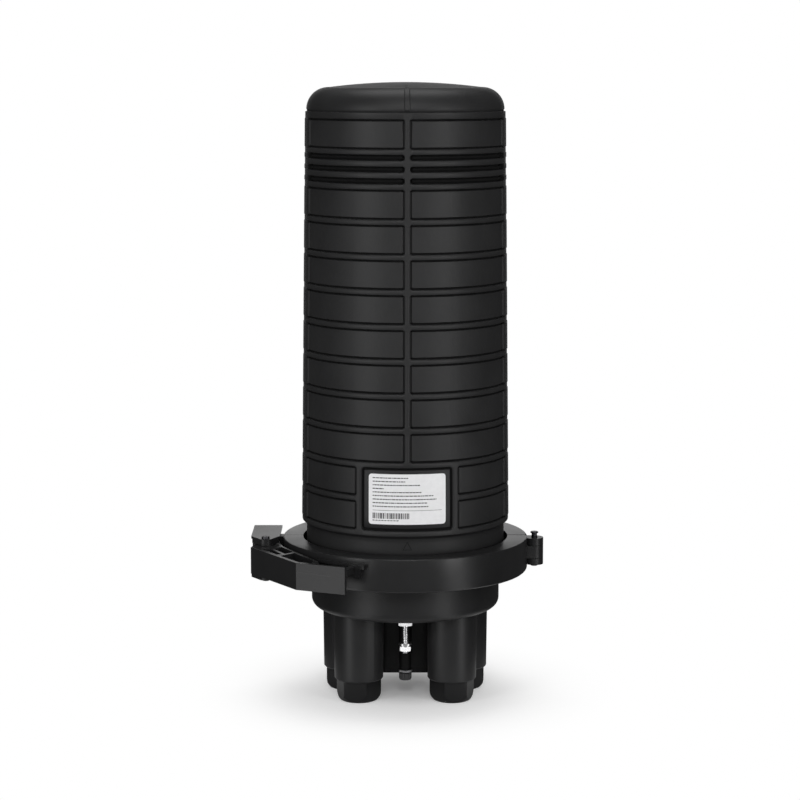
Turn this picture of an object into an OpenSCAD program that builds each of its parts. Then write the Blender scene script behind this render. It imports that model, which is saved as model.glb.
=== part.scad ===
// Dome splice closure for outdoor fibre cables.
// The origin is on the closure's axis, on the surface that its gland nuts stand on. +Z is up,
// -Y is the labelled front, the latch is at -X and the ring's hinge at +X.

/* [Dome] */
// Height of the dome's crown above the standing surface
dome_top = 461.2; // [455:0.1:470]
// Radius over the ribs at the foot of the dome
dome_foot_r = 77.9; // [77:0.1:78.5]
// Draft of the dome's wall, in degrees
dome_draft = 0.7; // [0.3:0.1:1]
// Radius of the rounded top edge
dome_edge_r = 17; // [15:0.5:20]
// Thickness of the dome's wall behind the panels
dome_wall = 3.0; // [2.5:0.1:4]
// Depth of the panels between the ribs
panel_depth = 1.5; // [1:0.1:2]
// Height of one panel
panel_h = 20; // [18.5:0.1:20.5]
// Height of one panel and one rib
panel_pitch = 25.1; // [24.5:0.1:25.2]
// Number of panel rows below the grip slots, label rows apart
panel_rows = 8; // [6:1:8]
// Width of the front and back ribs
centre_rib = 3.4; // [3:0.1:6]
// Turn of the dome's mouldings and label about its axis, in degrees
dome_turn = 1; // [0:0.1:3]
// Width of the label
label_w = 59; // [50:1:60]
// Height of the label
label_h = 37; // [30:1:39]

/* [Clamp ring] */
// Outer radius of the clamp ring
ring_r = 92.5; // [92:0.1:93]
// Underside of the clamp ring
ring_z0 = 95.4; // [95:0.1:96]
// Top of the clamp ring
ring_z1 = 120.5; // [120:0.1:121]
// Distance of the hinge axis from the closure's axis
hinge_x = 98; // [97.8:0.1:98.4]
// Radius of the hinge knuckles
knuckle_r = 6.8; // [6:0.1:7]
// Radius of the hinge pin
pin_r = 2.45; // [2:0.05:2.5]

/* [Base] */
// Radius of the base cup
cup_r = 71.1; // [70:0.1:72]
// Underside of the base cup
cup_z0 = 67.2; // [65:0.1:68]
// Radius of the fillet under the cup
cup_fillet = 6.5; // [4:0.5:7]
// Radius of a round port tube where it leaves the cup
port_r = 18.85; // [18:0.05:19]
// Radius of a round port tube at its end
port_end_r = 18.3; // [17.8:0.1:18.5]
// Distance of the round ports from the axis
port_circle_r = 45; // [44.5:0.1:45.5]
// Lower end of the round port tubes
port_z0 = 16.5; // [16.3:0.1:18]
// Bore of the round port tubes
port_bore_r = 14; // [13:0.1:14.5]
// Bore for the cable through the grommet, at its largest
cable_r = 8.75; // [4:0.25:9]

/* [Trays] */
// Number of splice trays
tray_count = 6; // [1:1:6]
// Width of a tray
tray_w = 100; // [80:1:102]
// Length of a tray
tray_l = 205; // [120:5:220]
// Thickness of a tray
tray_t = 7; // [5:0.5:7.5]
// Distance from one tray to the next
tray_pitch = 8; // [8:0.1:8.2]

/* [Hidden] */
$fn = 96;

black = [0.10, 0.10, 0.11];
rubber = [0.07, 0.07, 0.07];
steel = [0.80, 0.81, 0.83];
tray_blue = [0.30, 0.42, 0.62];

// Joint face between the two flanges, and the flange that the ring grips
joint_z = 108;
flange_r = 86;
flange_t = 5.4;

// Clearance between moving parts, and of a pin in its hole
run_gap = 0.3;
run_fit = 0.05;

// Dome levels
rib_z0 = 134.5;
neck_r = 74.6;
slot_h = 3.6;
slot_pitch = 8.35;
slot_count = 3;
slot_depth = 2.6;
top_panel_z1 = 435.4;
slots_z1 = 410.3;
rows_z1 = 385.5;
label_rows_z1 = rows_z1 - panel_rows * panel_pitch;
label_panel_h = panel_h + 1.1;
label_rows_z0 = label_rows_z1 - panel_pitch - label_panel_h;
crown_r = 56.5;
crown_h = 2.9;
side_angle = 72;
pocket_angle = 24.3;
pocket_depth = 2.4;
pad_depth = 1.2;
label_t = 0.3;

function rib_r(z) = dome_foot_r - (z - rib_z0) * tan(dome_draft);
function arc(cx, cz, r, a0, a1, n) = [for (i = [0:n]) let (a = a0 + (a1 - a0) * i / n) [cx + r * cos(a), cz + r * sin(a)]];

edge_z = dome_top - crown_h - dome_edge_r;
crown_z = dome_top - crown_h;
crown_cap_r = (crown_r * crown_r + crown_h * crown_h) / (2 * crown_h);

// Outline of the dome from the neck to the crown, set in by t
function dome_side(t) = concat(
    arc(rib_r(edge_z) - dome_edge_r, edge_z, dome_edge_r - t, 0, 88, 11),
    [for (i = [0:8]) let (r = crown_r * (1 - i / 8))
        [r, dome_top - t - (crown_cap_r - sqrt(crown_cap_r * crown_cap_r - r * r))]]);

// A ring sector cut into the ribbed wall, between two heights and two angles from the front
module wall_sector(z0, z1, a0, a1, depth, proud = 3)
    rotate([0, 0, a0 - 90])
        rotate_extrude(angle = a1 - a0)
            polygon([[rib_r(z0) - depth, z0], [rib_r(z0) + proud, z0],
                [rib_r(z1) + proud, z1], [rib_r(z1) - depth, z1]]);

// A slot in the ribbed wall with round ends
module wall_slot(z0, a0, a1) {
    end_angle = slot_h / 2 / rib_r(z0) * 180 / PI;
    wall_sector(z0, z0 + slot_h, a0 + end_angle, a1 - end_angle, slot_depth);
    for (a = [a0 + end_angle, a1 - end_angle])
        rotate([0, 0, a])
            translate([0, -rib_r(z0) + slot_depth - 0.4, z0 + slot_h / 2])
                rotate([90, 0, 0]) cylinder(h = slot_depth + 3, d = slot_h - 0.2);
}

rib_angle = centre_rib / 2 / dome_foot_r * 180 / PI;
label_column = pocket_angle + 3.4;

module dome_recesses()
    for (back = [0, 180])
        rotate([0, 0, back])
            for (side = [0, 1])
                mirror([side, 0, 0]) {
                    wall_sector(top_panel_z1 - panel_h, top_panel_z1, rib_angle, side_angle, panel_depth);
                    for (i = [0:slot_count - 1])
                        wall_slot(slots_z1 - i * slot_pitch - slot_h, rib_angle, side_angle);
                    for (i = [0:panel_rows - 1])
                        wall_sector(rows_z1 - i * panel_pitch - panel_h, rows_z1 - i * panel_pitch,
                            rib_angle, side_angle, panel_depth);
                    for (i = [0, 1])
                        wall_sector(label_rows_z1 - i * panel_pitch - label_panel_h,
                            label_rows_z1 - i * panel_pitch, label_column, side_angle, panel_depth);
                }

module label_pocket() {
    wall_sector(label_rows_z0, label_rows_z1, -pocket_angle, pocket_angle, pad_depth);
    difference() {
        wall_sector(label_rows_z0, label_rows_z1, -pocket_angle, pocket_angle, pocket_depth);
        wall_sector(label_rows_z0 + 2, label_rows_z1 - 2, -pocket_angle + 1.2, pocket_angle - 1.2, 4);
    }
}

module dome_cover()
    color(black) rotate([0, 0, dome_turn]) {
        inset = dome_wall + panel_depth;
        difference() {
            rotate_extrude() polygon(concat(
                [[neck_r - dome_wall, joint_z], [flange_r, joint_z], [flange_r, joint_z + flange_t - 1.5],
                    [flange_r - 1.5, joint_z + flange_t], [neck_r, joint_z + flange_t],
                    [neck_r, rib_z0 - 3.5], [dome_foot_r, rib_z0]],
                dome_side(0),
                [[0, dome_top - inset], [crown_r, crown_z - inset]],
                arc(rib_r(edge_z) - dome_edge_r, edge_z, dome_edge_r - inset, 88, 0, 8),
                [[neck_r - dome_wall + 1.5, rib_z0 + 20], [neck_r - dome_wall, rib_z0]]));
            dome_recesses();
            label_pocket();
            rotate([0, 0, 180]) label_pocket();
            seal_groove();
        }
        for (back = [0, 180])
            rotate([0, 0, back]) top_rib();
    }

// The centre rib, carried over the rounded top edge
module top_rib()
    intersection() {
        rotate([0, 0, -100])
            rotate_extrude(angle = 20)
                polygon(concat(
                    [[rib_r(edge_z) - 1, edge_z]],
                    arc(rib_r(edge_z) - dome_edge_r, edge_z, dome_edge_r + 0.9, 4, 88, 10),
                    [[crown_r, crown_z - 1]]));
        translate([-centre_rib / 2, -dome_foot_r, edge_z]) cube([centre_rib, dome_foot_r, dome_edge_r + 4]);
    }

module label()
    color([0.93, 0.93, 0.94]) {
        mid_z = (label_rows_z0 + label_rows_z1) / 2;
        half = label_w / 2 / (rib_r(mid_z) - pad_depth) * 180 / PI;
        z0 = mid_z - label_h / 2;
        z1 = mid_z + label_h / 2;
        rotate([0, 0, dome_turn - half - 90])
            rotate_extrude(angle = 2 * half)
                polygon([[rib_r(z0) - pad_depth, z0], [rib_r(z0) - pad_depth + label_t, z0],
                    [rib_r(z1) - pad_depth + label_t, z1], [rib_r(z1) - pad_depth, z1]]);
    }

seal_r = 80.5;
seal_wire_r = 2.6;
module dome_seal_ring()
    color(rubber) rotate_extrude() translate([seal_r, joint_z]) circle(r = seal_wire_r, $fn = 32);
module seal_groove()
    rotate_extrude() translate([seal_r - seal_wire_r, joint_z - seal_wire_r])
        square(2 * seal_wire_r);

// Clamp ring: a channel over both flanges, in two halves
lip_top_r = 77.4;
lip_foot_r = 74;
channel_r = flange_r + 1;
right_gap = 0.8;
left_gap = 0.15;

module ring_profile(play)
    polygon(concat(
        [[lip_foot_r, ring_z0], [ring_r - 2.5, ring_z0]],
        arc(ring_r - 2.5, ring_z0 + 2.5, 2.5, -75, 0, 5),
        arc(ring_r - 1, ring_z1 - 1, 1, 0, 90, 4),
        [[lip_top_r, ring_z1], [lip_top_r, joint_z + flange_t + play],
            [flange_r - 1.5 + play, joint_z + flange_t + play], [channel_r, joint_z + flange_t - 1.5],
            [channel_r, joint_z - flange_t + 1.5], [flange_r - 1.5 + play, joint_z - flange_t - play],
            [lip_foot_r, joint_z - flange_t - play]]));

knuckle_low = [ring_z0 + 2.9, ring_z0 + 7.8];
knuckle_mid = [ring_z0 + 8.1, ring_z0 + 17.5];
knuckle_high = [ring_z0 + 17.8, ring_z1 - 1.8];

module knuckle(zs, side)
    difference() {
        union() {
            translate([hinge_x, 0, zs[0]]) cylinder(h = zs[1] - zs[0], r = knuckle_r);
            translate([ring_r - 4.5, side > 0 ? 0.2 : -knuckle_r, zs[0]])
                cube([hinge_x - ring_r + 4.5, knuckle_r - 0.2, zs[1] - zs[0]]);
        }
        translate([hinge_x, 0, zs[0] - 1]) cylinder(h = zs[1] - zs[0] + 2, r = pin_r + (side > 0 ? 0 : run_fit));
    }

module knuckle_relief()
    translate([hinge_x, 0, ring_z0 - 1]) cylinder(h = ring_z1 - ring_z0 + 2, r = knuckle_r + run_gap);

// Latch geometry in plan: lever pivot, link pivot and the corners of the lever's outer face
lever_axis = [-103, -12];
link_axis = [-104.7, -24];
lever_z0 = 97.5;
lever_h = 20;
lever_eye_r = 8;
tongue_r = 6.4;
tongue_z0 = 103.4;
tongue_h = 8.6;
lever_corners = [[-115.4, -33], [-79.2, -89], [-43.6, -105]];
lever_wall_cells = [
    [[-107.5, -37.5], [-100, -39.5], [-90.6, -58.5], [-94.6, -59.2]],
    [[-97.8, -38.5], [-92.3, -31.9], [-82.9, -50.4], [-88.6, -57]],
    [[-81.8, -54], [-91.9, -63.8], [-77.6, -86], [-67.8, -90.6], [-66.6, -81.2]]];
lever_web = 2.4;
ear_y = [6, 16];
ear_x = -107.5;
keeper_angle = -21.6;

module clamp_half_front()
    color(black)
        difference() {
            union() {
                difference() {
                    rotate([0, 0, -180 + left_gap])
                        rotate_extrude(angle = 180 - left_gap - right_gap) ring_profile(0.1);
                    knuckle_relief();
                }
                knuckle(knuckle_mid, -1);
                translate([lever_axis[0], lever_axis[1] - tongue_r, tongue_z0])
                    cube([13.4, 2 * tongue_r, tongue_h]);
                translate([lever_axis[0], lever_axis[1], tongue_z0]) cylinder(h = tongue_h, r = tongue_r);
                // keeper for the lever's stop, with the strip that stiffens it
                rotate([0, 0, keeper_angle]) {
                    translate([-6, -ring_r - 4.5, ring_z1 - 7.4]) cube([12, 6, 3]);
                    translate([-2.5, -ring_r - 3.5, ring_z1 - 14]) cube([5, 5, 7]);
                }
                rotate([0, 0, keeper_angle - 22 - 90])
                    rotate_extrude(angle = 20) translate([ring_r - 2, ring_z1 - 6.5]) square([4, 2]);
            }
            translate([lever_axis[0], lever_axis[1], tongue_z0 - 1]) cylinder(h = tongue_h + 2, r = pin_r + run_fit);
        }

module clamp_half_rear()
    color(black) {
        difference() {
            rotate([0, 0, left_gap]) rotate_extrude(angle = 180 - 2 * left_gap) ring_profile(0);
            knuckle_relief();
        }
        knuckle(knuckle_low, 1);
        knuckle(knuckle_high, 1);
        translate([ear_x, ear_y[0], ring_z0 + 2.5])
            cube([-ear_x - ring_r + 3.5, ear_y[1] - ear_y[0], ring_z1 - ring_z0 - 5]);
    }

// Hinge pin, with a thin flanged head standing over the upper knuckle
module hinge_pin()
    color(black) {
        translate([hinge_x, 0, knuckle_low[0] - 1.5])
            cylinder(h = knuckle_high[1] - knuckle_low[0] + 2, r = pin_r);
        translate([hinge_x, 0, knuckle_high[1]])
            rotate_extrude() polygon([[0, 0], [2.1, 0], [2.1, 3], [3, 3.4], [3, 4.1], [2.3, 4.5], [0, 4.5]]);
    }

module latch_lever()
    color([0.13, 0.13, 0.14]) {
        p = lever_corners;
        difference() {
            union() {
                translate([0, 0, lever_z0])
                    linear_extrude(lever_h)
                        polygon([[-110.9, -13], p[0], p[1], p[2], [-42.3, -102.3], [-62, -93.6],
                            [-63.5, -83.5], [-90.7, -31.3], [-95.6, -15]]);
                translate([lever_axis[0], lever_axis[1], lever_z0]) cylinder(h = lever_h, r = lever_eye_r);
                // stop that meets the keeper on the ring
                rotate([0, 0, keeper_angle])
                    translate([-5.5, -ring_r - 18.5, ring_z1 - 10.5]) cube([4, 13.4, 5]);
            }
            // fork for the ring's tongue
            translate([-130, link_axis[1] + 4.8, tongue_z0 - run_gap]) cube([50, 40, tongue_h + 2 * run_gap]);
            // cells above and below the middle web
            for (z = [lever_z0 - 1, lever_z0 + (lever_h + lever_web) / 2])
                translate([0, 0, z])
                    linear_extrude((lever_h - lever_web) / 2 + 1)
                        for (cell = lever_wall_cells) polygon(cell);
            translate([lever_axis[0], lever_axis[1], lever_z0 - 1]) cylinder(h = lever_h + 2, r = pin_r);
            translate([link_axis[0], link_axis[1], lever_z0 - 1]) cylinder(h = lever_h + 2, r = pin_r + run_fit);
        }
    }

module lever_pin()
    color(steel) translate([lever_axis[0], lever_axis[1], lever_z0]) cylinder(h = lever_h, r = pin_r);

// Link between the lever and the ear: two plates beyond the ring's faces, an outer wall and a hook
link_x = -116;
link_inner_x = -94.5;
link_y1 = 27;
link_wall = 2.6;
hook_y = 21.5;
link_low_z0 = ring_z0 - run_gap - 3.8;
link_low_z1 = ring_z0 - run_gap;
link_top_z0 = ring_z1 + run_gap;
link_top_z1 = link_top_z0 + 1.8;
nose_low_z1 = lever_z0 - run_gap;
nose_top_z0 = lever_z0 + lever_h + run_gap;

module link_plate(z0, z1)
    translate([0, 0, z0])
        linear_extrude(z1 - z0) {
            polygon([[link_x, link_y1], [link_x, -16], [-109.6, -26], [-99.8, -26], [link_inner_x, -16],
                [link_inner_x, link_y1]]);
            translate(link_axis) circle(r = 5.4);
        }

// The plates' front ends, which are thicker and bear on the lever
module link_nose(z0, z1)
    translate([0, 0, z0])
        linear_extrude(z1 - z0) {
            polygon([[-115.2, -17.2], [-109.6, -26], [-99.8, -26], [-95.2, -17.2]]);
            translate(link_axis) circle(r = 5.4);
        }

module latch_link()
    color([0.13, 0.13, 0.14])
        difference() {
            union() {
                link_plate(link_low_z0, link_low_z1);
                link_plate(link_top_z0, link_top_z1);
                link_nose(link_low_z1 - 1, nose_low_z1);
                link_nose(nose_top_z0, link_top_z0 + 1);
                translate([link_x, 0, link_low_z1 - 1])
                    cube([link_wall, link_y1, link_top_z0 - link_low_z1 + 2]);
                translate([link_x, hook_y, link_low_z1 - 1])
                    cube([ear_x - 2 * run_gap - link_x, link_y1 - hook_y, link_top_z0 - link_low_z1 + 2]);
            }
            translate([link_axis[0], link_axis[1], link_low_z0 - 1])
                cylinder(h = link_top_z1 - link_low_z0 + 2, r = pin_r);
        }

module link_pin()
    color([0.2, 0.2, 0.21]) {
        translate([link_axis[0], link_axis[1], link_low_z0 - 1])
            cylinder(h = link_top_z1 - link_low_z0 + 1, r = pin_r);
        difference() {
            translate([link_axis[0], link_axis[1], link_top_z1]) cylinder(h = 1.4, r1 = 3.1, r2 = 2.8);
            translate([link_axis[0] - 4, link_axis[1] - 0.5, link_top_z1 + 0.6]) cube([8, 1, 2]);
        }
    }

// Base cup with its ports
port_angles = [-51, 51, 102, -102];
port_top_z = cup_z0 + 4;
oval_y = 38;
oval_half = 14;
oval_r = 18;
oval_z0 = 10.5;
earth_y = -35;
valve_y = -20;
stud_r = 2.5;
stud_z0 = 37;
foot_x = 18;
foot_y = 2;
valve_r = 4.2;
valve_z0 = 13.1;

module at_port(i) rotate([0, 0, port_angles[i]]) translate([0, -port_circle_r, 0]) children();
module oval(r, z0, z1)
    translate([0, oval_y, z0]) {
        for (x = [-oval_half, oval_half]) translate([x, 0, 0]) cylinder(h = z1 - z0, r = r);
        translate([-oval_half, -r, 0]) cube([2 * oval_half, 2 * r, z1 - z0]);
    }

module base_body()
    color(black)
        difference() {
            union() {
                rotate_extrude() polygon(concat(
                    [[0, cup_z0]],
                    arc(cup_r - cup_fillet, cup_z0 + cup_fillet, cup_fillet, -90, 0, 8),
                    [[cup_r, joint_z - flange_t - 3], [cup_r + 1.5, joint_z - flange_t],
                        [flange_r - 1.5, joint_z - flange_t], [flange_r, joint_z - flange_t + 1.5],
                        [flange_r, joint_z], [cup_r - 3.5, joint_z], [cup_r - 3.5, port_top_z], [0, port_top_z]]));
                for (i = [0:3]) at_port(i) {
                    translate([0, 0, port_z0 + 1]) cylinder(h = port_top_z - port_z0 - 1, r1 = port_end_r, r2 = port_r);
                    translate([0, 0, port_z0]) cylinder(h = 1, r1 = port_end_r - 0.8, r2 = port_end_r);
                }
                oval(oval_r, oval_z0, port_top_z);
                // bosses under the two feet of the tray bracket
                for (x = [-foot_x, foot_x]) translate([x, foot_y, port_top_z - 1]) cylinder(h = 5, r = 4.5);
            }
            for (i = [0:3]) at_port(i) translate([0, 0, port_z0 - 1]) cylinder(h = port_top_z, r = port_bore_r);
            oval(oval_r - 3, oval_z0 - 1, port_top_z + 1);
            translate([0, earth_y, cup_z0 - 1]) cylinder(h = 10, r = stud_r);
            translate([0, valve_y, cup_z0 - 1]) cylinder(h = 10, r = valve_r);
            for (x = [-foot_x, foot_x]) translate([x, foot_y, port_top_z - 2]) cylinder(h = 10, r = 1.5);
            seal_groove();
        }

// Gland nuts: a hexagon with a round rim below and a threaded spigot inside the tube
nut_turn = [20, -19.5, 12, -12];
nut_across_corners = 34;
nut_bevel_z = 6.6;
module gland_nut(i)
    color(black) at_port(i) rotate([0, 0, nut_turn[i] - port_angles[i] - 90])
        difference() {
            union() {
                cylinder(h = 4.5, r1 = 12.6, r2 = 13.6);
                intersection() {
                    translate([0, 0, 3]) cylinder(h = port_z0 - 3, d = nut_across_corners, $fn = 6);
                    rotate_extrude() polygon([[0, 2], [11, 2], [17.1, nut_bevel_z], [17.1, port_z0], [0, port_z0]]);
                }
                translate([0, 0, port_z0 - 0.5]) cylinder(h = 12.5, r = port_bore_r);
            }
            translate([0, 0, -1]) cylinder(h = 40, r = 10.5);
        }

grommet_z0 = port_z0 + 12;
module cable_grommet(i)
    color(rubber) at_port(i) translate([0, 0, grommet_z0])
        difference() {
            cylinder(h = 26, r = port_bore_r);
            translate([0, 0, -1]) cylinder(h = 28, r = cable_r);
        }

oval_bores = [-13, 13];
module oval_seal_block()
    color(rubber)
        difference() {
            oval(oval_r - 3, oval_z0, oval_z0 + 32);
            for (x = oval_bores) translate([x, oval_y, oval_z0 - 1]) cylinder(h = 40, r = 9);
        }
module oval_port_plugs()
    color(black)
        for (x = oval_bores) translate([x, oval_y, 0]) {
            translate([0, 0, oval_z0]) cylinder(h = 34, r = 9);
            translate([0, 0, oval_z0 - 2]) cylinder(h = 2, r1 = 7, r2 = 9);
        }
module oval_press_plate()
    color(black)
        difference() {
            oval(oval_r - 0.5, oval_z0 - 3, oval_z0);
            for (x = oval_bores) translate([x, oval_y, oval_z0 - 4]) cylinder(h = 6, r = 9.2);
            for (x = [-26.6, 26.6]) translate([x, oval_y, oval_z0 - 4]) cylinder(h = 6, r = 1.6);
        }
module oval_plate_screws()
    color(steel)
        for (x = [-26.6, 26.6]) translate([x, oval_y, 0]) {
            translate([0, 0, oval_z0 - 5]) cylinder(h = 2, r1 = 2.6, r2 = 3);
            translate([0, 0, oval_z0 - 3]) cylinder(h = 3, r = 1.6);
        }

// Test valve, hanging from the cup's floor
module test_valve_body()
    color(rubber) translate([0, valve_y, 0]) {
        translate([0, 0, valve_z0 + 5.4]) cylinder(h = 1.7, r = 5.3);
        translate([0, 0, valve_z0 + 7.1]) cylinder(h = cup_z0 - 3 - valve_z0 - 7.1, r1 = 4.6, r2 = 5.2);
        translate([0, 0, cup_z0 - 3]) cylinder(h = 3, r = 7, $fn = 6);
        translate([0, 0, cup_z0]) cylinder(h = 12, r = valve_r);
    }
module test_valve_nut()
    color(steel) translate([0, valve_y, port_top_z])
        difference() {
            cylinder(h = 4, r = 7.5, $fn = 6);
            translate([0, 0, -1]) cylinder(h = 6, r = valve_r);
        }
module test_valve_cap()
    color(black) translate([0, valve_y, valve_z0])
        rotate_extrude() polygon([[0, 0], [3.9, 0], [4.8, 0.9], [4.8, 4.8], [4.3, 5.4], [0, 5.4]]);

// Earth stud with its hardware
module earth_stud()
    color(steel) translate([0, earth_y, 0])
        rotate_extrude() polygon([[0, stud_z0], [stud_r - 0.7, stud_z0], [stud_r, stud_z0 + 0.7], [stud_r, port_top_z + 8],
            [0, port_top_z + 8]]);
module hex_nut(z, h, across_flats) {
    corner = across_flats / sqrt(3);
    translate([0, earth_y, z])
        difference() {
            intersection() {
                rotate([0, 0, 30]) cylinder(h = h, r = corner, $fn = 6);
                rotate_extrude() polygon([[0, 0], [0.92 * corner, 0], [1.02 * corner, 0.06 * corner],
                    [1.02 * corner, h - 0.06 * corner], [0.92 * corner, h], [0, h]]);
            }
            translate([0, 0, -1]) cylinder(h = h + 2, r = stud_r);
        }
}
module earth_washer_ring(z, h, r)
    translate([0, earth_y, z])
        difference() {
            cylinder(h = h, r = r);
            translate([0, 0, -1]) cylinder(h = h + 2, r = stud_r);
        }
nut_z = stud_z0 + 2.1;
nut_h = 3.5;
spring_h = 1.3;
washer_h = 1.1;
collar_h = 8.5;
module earth_collar() color(steel) hex_nut(cup_z0 - collar_h, collar_h, 10.1);
module earth_nut() color(steel) hex_nut(nut_z, nut_h, 8);
module earth_spring_washer() color(steel) earth_washer_ring(nut_z + nut_h, spring_h, 4.3);
module earth_washer() color(steel) earth_washer_ring(nut_z + nut_h + spring_h, washer_h, 5);
module earth_inner_nut() color(steel) hex_nut(port_top_z, 4, 8);

// Tray bracket: a folded steel sheet on two feet, with the basket behind and the comb in front
sheet = 1.5;
spine_y = 8.6;
bracket_z0 = port_top_z + 4;
bracket_z1 = 404;
plate_z0 = 120;
plate_h = 262;
module tray_bracket()
    color(steel)
        difference() {
            union() {
                translate([-24, spine_y, bracket_z0]) cube([48, sheet, bracket_z1 - bracket_z0]);
                translate([-46, spine_y, plate_z0]) cube([92, sheet, plate_h]);
                translate([-24, -3.5, bracket_z0]) cube([48, spine_y + 3.5 + sheet, sheet]);
                for (x = [-46, 46 - sheet]) translate([x, spine_y, plate_z0]) cube([sheet, 8, plate_h]);
            }
            for (x = [-foot_x, foot_x]) translate([x, foot_y, bracket_z0 - 1]) cylinder(h = 4, r = 1.7);
            for (z = [plate_z0 + 38:55:plate_z0 + 240]) translate([0, spine_y - 1, z]) rotate([-90, 0, 0]) cylinder(h = 4, r = 8);
        }
module bracket_screws()
    color(steel)
        for (x = [-foot_x, foot_x]) translate([x, foot_y, 0]) {
            translate([0, 0, port_top_z - 2]) cylinder(h = bracket_z0 + sheet - port_top_z + 2, r = 1.5);
            translate([0, 0, bracket_z0 + sheet]) cylinder(h = 2.4, r1 = 3.4, r2 = 2.6);
        }

basket_y = spine_y + sheet;
basket_z0 = plate_z0 + 8;
basket_h = 240;
module fibre_basket()
    color([0.16, 0.16, 0.17])
        difference() {
            translate([-42, basket_y, basket_z0]) cube([84, 34, basket_h]);
            translate([-40, basket_y + 2, basket_z0 + 2]) cube([80, 28, basket_h]);
            for (k = [0:4]) translate([-30, basket_y + 28, basket_z0 + 30 + 40 * k]) cube([60, 8, 22]);
        }
module basket_rivets()
    color(steel)
        for (x = [-32, 32], z = [basket_z0 + 20, basket_z0 + basket_h - 20]) translate([x, spine_y, z]) rotate([-90, 0, 0]) {
            translate([0, 0, sheet + 2]) cylinder(h = 1.2, r1 = 3.2, r2 = 2.4);
            translate([0, 0, -1]) cylinder(h = 1, r1 = 2.4, r2 = 3.2);
        }

tray_y0 = spine_y - 1.6 - (tray_count - 1) * tray_pitch - tray_t;
tray_z0 = plate_z0 + 28;
tray_axis_z = plate_z0 + 17;
comb_x = 33;
hinge_pin_r = 1.5;
function tray_y(i) = tray_y0 + i * tray_pitch;
module tray_comb()
    color(black)
        difference() {
            union() {
                translate([-comb_x - 4, tray_y0, plate_z0]) cube([2 * comb_x + 8, spine_y - tray_y0, 4]);
                for (x = [-comb_x - 4, comb_x]) translate([x, tray_y0, plate_z0]) cube([4, spine_y - tray_y0, 22]);
            }
            for (i = [0:tray_count - 1])
                translate([-comb_x - 5, tray_y(i) + tray_t / 2, tray_axis_z])
                    rotate([0, 90, 0]) cylinder(h = 2 * comb_x + 10, r = hinge_pin_r);
        }
module tray_hinge_pins()
    color(steel)
        for (i = [0:tray_count - 1])
            translate([-comb_x - 4, tray_y(i) + tray_t / 2, tray_axis_z])
                rotate([0, 90, 0]) cylinder(h = 2 * comb_x + 8, r = hinge_pin_r);

module splice_tray(i)
    color(tray_blue)
        translate([0, tray_y(i), 0])
            difference() {
                union() {
                    translate([-tray_w / 2, 0, tray_z0 + 8]) cube([tray_w, tray_t, tray_l - 16]);
                    translate([-tray_w / 2 + 8, 0, tray_z0]) cube([tray_w - 16, tray_t, tray_l]);
                    for (x = [-tray_w / 2 + 8, tray_w / 2 - 8], z = [tray_z0 + 8, tray_z0 + tray_l - 8])
                        translate([x, tray_t, z]) rotate([90, 0, 0]) cylinder(h = tray_t, r = 8);
                    for (x = [-comb_x + 0.4, comb_x - 3.9])
                        translate([x, 0.5, tray_axis_z - 3]) cube([3.5, tray_t - 1, tray_z0 - tray_axis_z + 4]);
                }
                // fibre pocket, open to the front, with an island and a splice holder left standing
                difference() {
                    translate([-tray_w / 2 + 2, -1, tray_z0 + 10]) cube([tray_w - 4, tray_t - 0.8, tray_l - 20]);
                    translate([0, tray_t, tray_z0 + 48]) rotate([90, 0, 0]) cylinder(h = tray_t - 1, r = 22);
                    translate([-20, 1.5, tray_z0 + tray_l / 2 - 10]) cube([40, tray_t, 62]);
                }
                translate([0, tray_t - 1.9, tray_z0 + 48]) rotate([90, 0, 0]) cylinder(h = tray_t, r = 20);
                for (k = [0:5]) translate([-17.5 + k * 6.2, -1, tray_z0 + tray_l / 2 - 11]) cube([4, tray_t - 1, 64]);
                translate([-comb_x - 5, tray_t / 2, tray_axis_z]) rotate([0, 90, 0]) cylinder(h = 2 * comb_x + 10, r = hinge_pin_r);
            }

module tray_cover()
    color([0.8, 0.85, 0.88, 0.5])
        translate([-tray_w / 2 + 1, tray_y0 - 1.4, tray_z0 + 8]) cube([tray_w - 2, 1.4, tray_l - 16]);

strap_z = tray_z0 + 96;
module tray_strap()
    color(black)
        difference() {
            translate([-tray_w / 2 - 1.6, tray_y0 - 3, strap_z]) cube([tray_w + 3.2, basket_y + 34 - tray_y0 + 4.6, 16]);
            translate([-tray_w / 2, tray_y0 - 1.4, strap_z - 1]) cube([tray_w, basket_y + 34 - tray_y0 + 1.4, 18]);
        }

// Clamps for the cables' strength members, on the bracket's spine
clamp_z0 = 91;
module strength_clamps()
    color(steel)
        for (x = [-15, 15])
            difference() {
                translate([x - 6, spine_y - 8, clamp_z0]) cube([12, 8, 14]);
                translate([x, spine_y - 4, clamp_z0 - 1]) cylinder(h = 16, r = 2);
                translate([x, spine_y - 9, clamp_z0 + 9]) rotate([-90, 0, 0]) cylinder(h = 5, r = 1.5);
            }
module strength_clamp_screws()
    color(steel)
        for (x = [-15, 15]) translate([x, spine_y - 8, clamp_z0 + 9]) rotate([-90, 0, 0]) {
            cylinder(h = 4, r = 1.5);
            translate([0, 0, -2.2]) cylinder(h = 2.2, r = 2.8);
        }

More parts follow.
